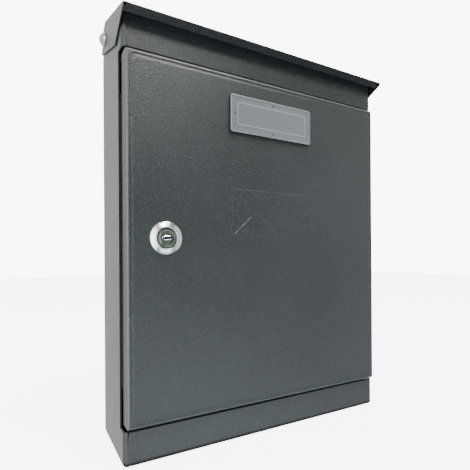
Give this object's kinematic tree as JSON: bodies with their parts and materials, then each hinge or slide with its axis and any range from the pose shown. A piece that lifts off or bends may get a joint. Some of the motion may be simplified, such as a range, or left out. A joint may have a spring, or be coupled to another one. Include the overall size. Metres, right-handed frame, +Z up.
{
  "type": "wall letterbox",
  "caption": "Flat wall-mounted sheet-steel letterbox with a right-hung front door, cam lock, clear name window and a sloping hinged lid over the posting slot.",
  "frame": {"origin": "centre of the rectangle of wall-screw holes, on the back panel's outer face", "axes": "+X to the right seen from the front, +Y out of the back into the wall, +Z up"},
  "size_m": [0.2246, 0.0705, 0.2968],
  "materials": {
    "powder_steel": "fine matte powder coat, anthracite",
    "zinc_steel": "zinc plated",
    "bright_rivet": "bright",
    "nylon": "natural nylon",
    "chrome": "bright chrome",
    "lock_metal": "nickel plated",
    "bright_shutter": "bright",
    "brass": "stamped",
    "spring_steel": "spring steel",
    "clear_plastic": "clear moulded plastic"
  },
  "bodies": {
    "casing": {"casing_body": "powder_steel", "back_panel": "powder_steel", "slot_rim": "powder_steel", "door_hinge_pins": "zinc_steel", "lid_pivot_rivets": "bright_rivet", "pivot_spacers": "nylon", "pivot_lock_washers": "zinc_steel"},
    "lid": {"lid": "powder_steel"},
    "door": {"door_panel": "powder_steel", "nameplate_window": "clear_plastic", "nameplate_push_nuts": "spring_steel", "lock_housing": "zinc_steel", "lock_bezel": "chrome", "lock_tooth_washer": "zinc_steel", "lock_nut": "zinc_steel"},
    "lock": {"lock_plug": "lock_metal", "keyway_shutter": "bright_shutter", "lock_wafers": "brass", "wafer_springs": "spring_steel", "lock_stop_plate": "zinc_steel", "lock_cam": "zinc_steel", "cam_washer": "zinc_steel", "cam_screw": "zinc_steel"}
  },
  "joints": [
    {"name": "lid_hinge", "type": "hinge", "parent": "casing", "child": "lid", "pos_m": [0, -0.0123, 0.1463], "axis": [-1, 0, 0], "range_deg": [0, 80]},
    {"name": "door_hinge", "type": "hinge", "parent": "casing", "child": "door", "pos_m": [0.102, -0.0569, 0], "axis": [0, 0, 1], "range_deg": [0, 105]},
    {"name": "lock_turn", "type": "hinge", "parent": "door", "child": "lock", "pos_m": [-0.081, -0.055, 0.0022], "axis": [0, 1, 0], "range_deg": [0, 90]}
  ]
}
